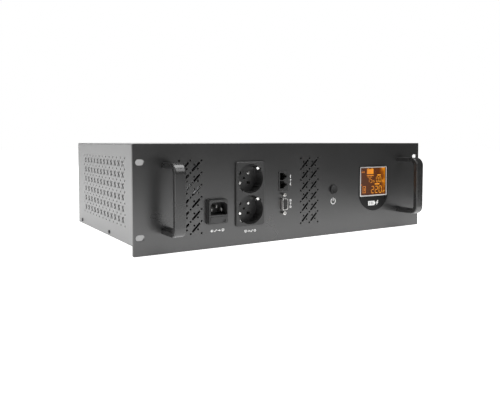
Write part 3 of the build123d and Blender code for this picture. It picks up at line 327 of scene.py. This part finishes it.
NODE_MATERIALS = {
    "panel_paint": ["front_panel"],
    "case_paint": ["top_cover"],
    "screw_black": ["cover_screws"],
    "zinc": ["base_tray", "panel_screws", "handle_screws", "display_posts", "board_screws",
             "transformer_frame", "transformer_bolts", "battery_strap", "strap_screws", "fan_screws"],
    "handle_satin": ["left_handle", "right_handle"],
    "moulded_black": ["inlet_housing", "fuse_drawer", "outlet_housing"],
    "port_black": ["phone_jack", "serial_insert"],
    "nickel": ["fuse_caps", "earth_clips", "outlet_fasteners", "serial_shell", "jack_screws",
               "battery_terminals", "fan_guard"],
    "brass": ["phone_contacts", "board_posts"],
    "dull_nickel": ["outlet_contacts", "inlet_pins"],
    "gloss_black": ["display_bezel"],
    "button_black": ["power_button"],
    "bright_trim": ["display_trim"],
    "window": ["display_window"],
    "lcd_face": ["lcd_module"],
    "circuit_board": ["comm_board", "display_board", "main_board"],
    "aluminium": ["heat_sinks"],
    "epoxy": ["button_switch", "transistors"],
    "can_sleeve": ["capacitors"],
    "relay_blue": ["relays"],
    "terminal_green": ["terminal_block"],
    "laminations": ["transformer_core"],
    "winding_tape": ["transformer_windings"],
    "battery_case": ["battery_inner", "battery_outer"],
    "wire_red": ["battery_lead_red"],
    "wire_black": ["battery_lead_black", "battery_link"],
    "wire_blue": ["mains_neutral"],
    "wire_brown": ["mains_live", "outlet_wires"],
    "wire_grey": ["display_ribbon"],
    "fuse_glass": ["fuse_tubes"],
    "spring": ["button_spring"],
    "fan_black": ["fan_frame", "fan_rotor"],
}


def paint_nodes():
    for material, nodes in NODE_MATERIALS.items():
        for node in nodes:
            for slot in NODES[node].material_slots:
                slot.material = MATERIALS[material]


# ---------------------------------------------------------------- flat graphics
def box_loop(x, z, width, height):
    w, h = width / 2, height / 2
    return [(x - w, z - h), (x + w, z - h), (x + w, z + h), (x - w, z + h)]


def round_loop(x, z, radius, steps=40, start=0.0, sweep=2 * math.pi):
    closed = abs(sweep - 2 * math.pi) < 1e-6
    count = steps if closed else steps + 1
    angles = [start + sweep * k / steps for k in range(count)]
    return [(x + radius * math.cos(a), z + radius * math.sin(a)) for a in angles]


def band(x, z, radius, width, start, sweep, steps=40):
    """Part of a ring as one loop."""
    outer = round_loop(x, z, radius + width / 2, steps, start, sweep)
    inner = round_loop(x, z, radius - width / 2, steps, start, sweep)
    return outer + inner[::-1]


def stroke(points, width):
    """A thick open line as one loop, mitred at its corners."""
    left, right = [], []
    for k, (x, z) in enumerate(points):
        before = Vector(points[max(k - 1, 0)])
        after = Vector(points[min(k + 1, len(points) - 1)])
        here = Vector((x, z))
        ahead = (after - here).normalized() if k < len(points) - 1 else (here - before).normalized()
        behind = (here - before).normalized() if k > 0 else ahead
        along = (ahead + behind).normalized()
        across = Vector((-along.y, along.x))
        reach = width / 2 / max(0.3, across.dot(Vector((-ahead.y, ahead.x))))
        left.append(tuple(here + across * reach))
        right.append(tuple(here - across * reach))
    return left + right[::-1]


def moved(loops, x, z, turn=0.0, scale=1.0):
    c, s = math.cos(turn) * scale, math.sin(turn) * scale
    return [[(x + c * u - s * v, z + s * u + c * v) for u, v in loop] for loop in loops]


def flat_piece(name, loops, front_y, thickness_mm, material, body="chassis"):
    """Loops in x and z, in millimetres from the panel's middle, as a thin raised piece facing forward."""
    curve = bpy.data.curves.new(name, "CURVE")
    curve.dimensions = "2D"
    curve.fill_mode = "BOTH"
    curve.extrude = thickness_mm * MM / 2
    for loop in loops:
        spline = curve.splines.new("POLY")
        spline.points.add(len(loop) - 1)
        spline.use_cyclic_u = True
        for point, (x, z) in zip(spline.points, loop):
            point.co = (x * MM, z * MM, 0, 1)
    outline = bpy.data.objects.new(name + "_outline", curve)
    bpy.context.scene.collection.objects.link(outline)
    bpy.context.view_layer.update()
    mesh = bpy.data.meshes.new_from_object(outline.evaluated_get(bpy.context.evaluated_depsgraph_get()))
    bpy.data.objects.remove(outline)
    bpy.data.curves.remove(curve)
    turn = Matrix.Rotation(math.pi / 2, 4, "X")
    mesh.transform(Matrix.Translation((PANEL_MID.x, front_y - thickness_mm * MM / 2, PANEL_MID.z)) @ turn)
    return add_piece(name, mesh, material, body)


def add_piece(name, mesh, material, body="chassis"):
    mesh.name = name
    mesh.materials.clear()
    mesh.materials.append(MATERIALS[material])
    piece = bpy.data.objects.new(name, mesh)
    bpy.context.scene.collection.objects.link(piece)
    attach(piece, body)
    return piece


def from_middle(point):
    """A point of the frame as x and z in millimetres from the panel's middle."""
    return (point.x - PANEL_MID.x) / MM, (point.z - PANEL_MID.z) / MM


# Small pictograms, each about 3.4 mm high and centred on its own origin.
GLYPH = 3.4
LINE = 0.85


def wave_glyph():
    """One period of alternating current."""
    steps = 12
    points = [(2.0 * t / steps, 1.2 * math.sin(math.pi * t / steps)) for t in range(-steps, steps + 1)]
    return [stroke(points, LINE)]


def arrow_glyph():
    """Arrow pointing right, as one loop."""
    upper = [(-2.0, LINE / 2), (0.2, LINE / 2), (0.2, 1.5)]
    return [upper + [(2.1, 0)] + [(x, -z) for x, z in reversed(upper)]]


def socket_glyph():
    """Round outlet with two pin holes."""
    ring = [round_loop(0, 0, GLYPH / 2), round_loop(0, 0, GLYPH / 2 - LINE * 0.8)]
    return ring + [round_loop(side * 0.5, 0, 0.3, 16) for side in (-1, 1)]


def plug_glyph():
    """Plug with two pins and a stub of lead, as one loop."""
    lead = [(-2.4, 0.4), (-1.3, 0.4)]
    body = [(-1.3, 1.6), (0.5, 1.6)]
    pin = [(0.5, 1.2), (2.1, 1.2), (2.1, 0.5), (0.5, 0.5)]
    upper = lead + body + pin
    return [upper + [(x, -z) for x, z in reversed(upper)]]


def handset_glyph():
    """Telephone handset on its side, as one loop."""
    half = [(1.5, 1.1), (2.2, 0.3), (2.2, -1.2), (1.1, -1.2), (1.1, 0.1)]
    return [half + [(-x, z) for x, z in reversed(half)]]


def computer_glyph():
    """Monitor on a stand."""
    return [box_loop(0, 0.5, 3.6, 2.6), box_loop(0, 0.5, 2.1, 1.1), box_loop(0, -1.5, 2.2, LINE * 0.7)]


def row_of(glyphs, pitch):
    loops = []
    for k, glyph in enumerate(glyphs):
        loops += moved(glyph, (k - (len(glyphs) - 1) / 2) * pitch, 0)
    return loops


LABEL_T = 0.08

# Rows under the mains ports: how far right of the port's middle, how high from the panel's middle, and pitch.
LEVEL_ROWS = {"inlet_housing": (1.8, -44.2, 5.3), "outlet_housing": (1.1, -48.9, 4.8)}
# Rows that read upwards beside the data ports: how far right of and above the port's middle, and pitch.
UPRIGHT_ROWS = {"phone_jack": (12.6, 0.7, 6.2), "serial_shell": (12.8, -0.4, 5.2)}
UPRIGHT_SCALE = 0.85


def port_labels():
    """Pictograms beside the four ports."""
    wave, arrow, monitor = wave_glyph(), arrow_glyph(), computer_glyph()
    glyphs = {
        "inlet_housing": [plug_glyph(), wave, arrow, monitor],
        "outlet_housing": [monitor, arrow, wave, socket_glyph()],
        "phone_jack": [handset_glyph(), arrow, handset_glyph()],
        "serial_shell": [monitor, arrow, monitor],
    }
    loops = []
    for node, (right, height, pitch) in LEVEL_ROWS.items():
        x = from_middle(middle(node))[0]
        loops += moved(row_of(glyphs[node], pitch), x + right, height)
    for node, (right, up, pitch) in UPRIGHT_ROWS.items():
        x, z = from_middle(middle(node))
        loops += moved(row_of(glyphs[node], pitch), x + right, z + up, math.pi / 2, UPRIGHT_SCALE)
    return flat_piece("port_labels", loops, PANEL_Y, LABEL_T, "label_white")


POWER_MARK_DROP = 17.2
POWER_RING_R = 4.1
POWER_LINE = 1.1


def power_mark():
    """Broken ring with an upright bar, the standard sign of a power key."""
    x, z = from_middle(middle("power_button"))
    z -= POWER_MARK_DROP
    ring = band(x, z, POWER_RING_R, POWER_LINE, math.radians(125), math.radians(290))
    bar = box_loop(x, z + 2.6, POWER_LINE, 5.0)
    return flat_piece("power_mark", [ring, bar], PANEL_Y, LABEL_T, "label_white")


BATTERY_LEFT = -9.2
BATTERY_RIGHT = 4.0
BATTERY_HALF = 3.4
BATTERY_TIP = 1.6
MARK_Z = -25.2
MARK_SHIFT = -1.2


def display_mark():
    """Pictogram of a charged battery and a bolt, on the display's surround."""
    tip_x, tip_z = BATTERY_RIGHT + BATTERY_TIP, BATTERY_HALF / 2
    tip = [(tip_x, tip_z), (BATTERY_RIGHT, tip_z)]
    upper = tip + [(BATTERY_RIGHT, BATTERY_HALF), (BATTERY_LEFT, BATTERY_HALF)]
    case = [(x, -z) for x, z in reversed(upper)] + upper
    cell_gaps = [box_loop(-5.8 + 3.2 * k, 0, 1.0, 4.2) for k in range(3)]
    bolt = [(10.2, 4.0), (7.0, -0.7), (8.8, -0.7), (7.6, -4.0), (12.0, 1.0), (10.0, 1.0), (11.8, 4.0)]
    x = from_middle(middle("display_trim"))[0] + MARK_SHIFT
    loops = moved([case, *cell_gaps, bolt], x, MARK_Z)
    return flat_piece("display_mark", loops, front_of("display_bezel"), LABEL_T, "label_white")


# ---------------------------------------------------------------- display contents
SEGMENTS = {"0": "abcdef", "2": "abged", "5": "afgcd", "7": "abc"}
SEGMENT_GAP = 0.08
DIGIT_PITCH = 1.55
INK_T = 0.06
INK_LIFT = 0.05


def digit_loops(character, width, height, line):
    """A seven-segment digit centred on its own origin."""
    w, h = width / 2, height / 2
    flat, upright = width - line - 2 * SEGMENT_GAP, h - line - 2 * SEGMENT_GAP
    places = {
        "a": box_loop(0, h, flat, line), "g": box_loop(0, 0, flat, line), "d": box_loop(0, -h, flat, line),
        "f": box_loop(-w, h / 2, line, upright), "b": box_loop(w, h / 2, line, upright),
        "e": box_loop(-w, -h / 2, line, upright), "c": box_loop(w, -h / 2, line, upright),
    }
    return [places[s] for s in SEGMENTS[character]]


def number_loops(text, x, z, width, height, line):
    loops = []
    for k, character in enumerate(text):
        loops += moved(digit_loops(character, width, height, line), x + k * width * DIGIT_PITCH, z)
    return loops


def percent_loops(x, z, size):
    bar = stroke([(x - 0.35 * size, z - 0.5 * size), (x + 0.35 * size, z + 0.5 * size)], 0.14 * size)
    dots = [round_loop(x + s * 0.33 * size, z - s * 0.28 * size, 0.16 * size, 16) for s in (-1, 1)]
    return [bar] + dots


# What the display shows. The first two numbers are how far across and down the window it stands, from 0 to 1.
BARS = [
    # width and height in millimetres: gauge, line under it, bar over and bar under the second reading, tick
    (0.40, 0.14, 13.6, 7.6),
    (0.40, 0.29, 14.2, 1.2),
    (0.76, 0.28, 7.6, 1.7),
    (0.68, 0.61, 9.8, 1.9),
    (0.05, 0.62, 2.6, 1.8),
]
READINGS = [
    # text, then its first digit's place, width, height and line width
    ("75", 0.325, 0.445, 3.8, 8.4, 0.75),
    ("00", 0.685, 0.445, 3.8, 8.0, 0.75),
    ("220", 0.50, 0.815, 5.2, 10.0, 0.95),
]
PERCENTS = [(0.545, 0.505), (0.905, 0.50)]
PERCENT_H = 3.8
CELL_SIGN = [(6.4, 10.4), (4.4, 8.4), (1.6, 5.0)]


def lcd_graphics():
    """Battery gauge, two readings in percent, a voltage, bars and a cell sign, as the bright segments."""
    low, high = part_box("display_window")
    x0, z0 = from_middle((low + high) / 2)
    wide, tall = (high.x - low.x) / MM, (high.z - low.z) / MM

    def at(across, down):
        return x0 + (across - 0.5) * wide, z0 + (0.5 - down) * tall

    loops = [box_loop(*at(across, down), width, height) for across, down, width, height in BARS]
    gauge_x, gauge_z = at(*BARS[0][:2])
    loops += [box_loop(gauge_x + side * 4, gauge_z + 4.5, 2.4, 1.1) for side in (-1, 1)]
    loops += [box_loop(*at(0.055 + 0.05 * k, 0.155), 1.7, 1.2 + 0.5 * k) for k in range(3)]
    for text, across, down, *sizes in READINGS:
        loops += number_loops(text, *at(across, down), *sizes)
    for place in PERCENTS:
        loops += percent_loops(*at(*place), PERCENT_H)
    loops += [box_loop(*at(0.165, 0.80), width, height) for width, height in CELL_SIGN]
    loops += moved(wave_glyph(), *at(0.945, 0.89), 0, 0.9)
    face_y = front_of("lcd_module") - INK_LIFT * MM
    return flat_piece("lcd_graphics", loops, face_y, INK_T, "lcd_ink")


# ---------------------------------------------------------------- stage, light and camera
CAMERA_PLACE = Vector((-0.45768, -0.74844, 0.13557))
CAMERA_PITCH = math.radians(87.67)
CAMERA_YAW = math.radians(-31.94)
LENS = 39.09
SHIFT_UP = -0.0734
FLOOR_GLOW = 0.95
FLOOR_CORNERS = [(-6, -0.8), (0.05, -0.8), (0.45, -0.32), (6, 1.7), (6, 8), (-6, 8)]
FLOOR_GAP = 0.0002
WORLD_SEEN = 1.0
WORLD_LIGHT = 0.10
LIGHTS = [
    # name, place, what it faces, width and height in metres, watts
    ("key", (0.5, -1.7, 1.5), (0, 0, 0.05), 1.0, 1.0, 12),
    ("top", (0.2, -0.1, 2.0), (0, 0, 0), 1.6, 1.6, 40),
    ("left_fill", (-2.2, 0.3, 0.9), (0, 0, 0.05), 1.6, 1.2, 10),
    ("back_fill", (0.6, 2.2, 1.2), (0, 0, 0.05), 1.6, 1.2, 9),
]


def camera():
    data = bpy.data.cameras.new("camera")
    data.sensor_width = 36
    data.lens = LENS
    data.shift_y = SHIFT_UP
    data.clip_start = 0.01
    holder = bpy.data.objects.new("camera", data)
    holder.location = CAMERA_PLACE
    holder.rotation_euler = (CAMERA_PITCH, 0, CAMERA_YAW)
    bpy.context.scene.collection.objects.link(holder)
    bpy.context.scene.camera = holder


def floor():
    """Pale sheet that the chassis stands on. It ends in front of the panel, and the studio beyond is dim."""
    s = Surface("floor_white", 0.6)
    s.blend(s.noise(3.0), [(0.3, (0.84, 0.84, 0.84)), (0.7, (0.87, 0.87, 0.87))])
    s.shader.inputs["Emission Color"].default_value = (1, 1, 1, 1)
    s.shader.inputs["Emission Strength"].default_value = FLOOR_GLOW
    mesh = bpy.data.meshes.new("floor")
    bm = bmesh.new()
    bm.faces.new([bm.verts.new((x, y, 0)) for x, y in FLOOR_CORNERS])
    bm.to_mesh(mesh)
    bm.free()
    mesh.materials.append(s.material)
    piece = bpy.data.objects.new("floor", mesh)
    piece.location.z = cad_box[0][2] - FLOOR_GAP
    bpy.context.scene.collection.objects.link(piece)


def area_light(name, place, target, width, height, watts):
    data = bpy.data.lights.new(name, "AREA")
    data.shape = "RECTANGLE"
    data.size, data.size_y = width, height
    data.energy = watts
    holder = bpy.data.objects.new(name, data)
    holder.location = place
    holder.rotation_euler = (Vector(target) - Vector(place)).to_track_quat("-Z", "Y").to_euler()
    bpy.context.scene.collection.objects.link(holder)


def surroundings():
    """White behind the object, and dim light from all round."""
    world = bpy.data.worlds.new("studio")
    world.use_nodes = True
    tree = world.node_tree
    background = tree.nodes["Background"]
    background.inputs["Color"].default_value = (1, 1, 1, 1)
    seen = tree.nodes.new("ShaderNodeLightPath").outputs["Is Camera Ray"]
    strength = tree.nodes.new("ShaderNodeMapRange")
    strength.inputs["To Min"].default_value = WORLD_LIGHT
    strength.inputs["To Max"].default_value = WORLD_SEEN
    tree.links.new(seen, strength.inputs["Value"])
    tree.links.new(strength.outputs["Result"], background.inputs["Strength"])
    bpy.context.scene.world = world


def studio():
    camera()
    floor()
    for light in LIGHTS:
        area_light(*light)
    surroundings()
    bpy.context.scene.view_settings.view_transform = "Standard"


# ---------------------------------------------------------------- making
studio()
paint_nodes()
port_labels()
power_mark()
display_mark()
lcd_graphics()
